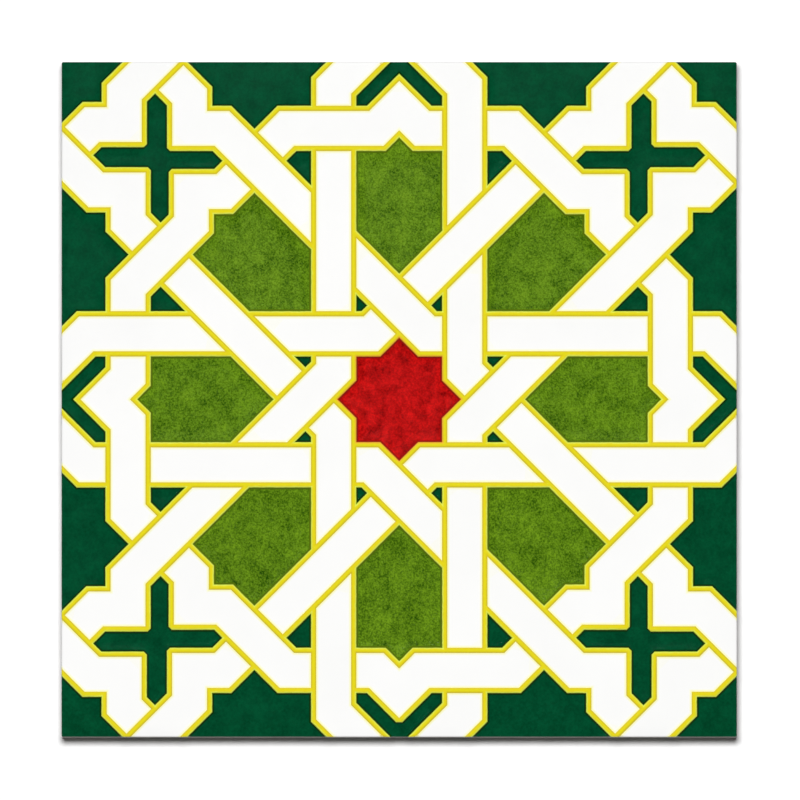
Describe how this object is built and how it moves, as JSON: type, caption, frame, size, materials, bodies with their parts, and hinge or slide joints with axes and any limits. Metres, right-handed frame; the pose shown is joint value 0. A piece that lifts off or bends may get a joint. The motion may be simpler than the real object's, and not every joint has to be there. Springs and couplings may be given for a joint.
{
  "type": "star lattice wall tile",
  "caption": "Square glazed ceramic tile with a raised interlaced strapwork star lattice on its face and a keyed back.",
  "frame": {"origin": "middle of the back, on the plane that the tile rests on", "axes": "+Z out of the glazed face, X and Y along the tile's sides; lying flat, face up"},
  "size_m": [0.1524, 0.1524, 0.008],
  "materials": {
    "glazed_body": "gloss glaze in white, yellow, dark green, leaf green and red over a pale fired body"
  },
  "bodies": {
    "root": {"tile": "glazed_body"}
  },
  "joints": []
}
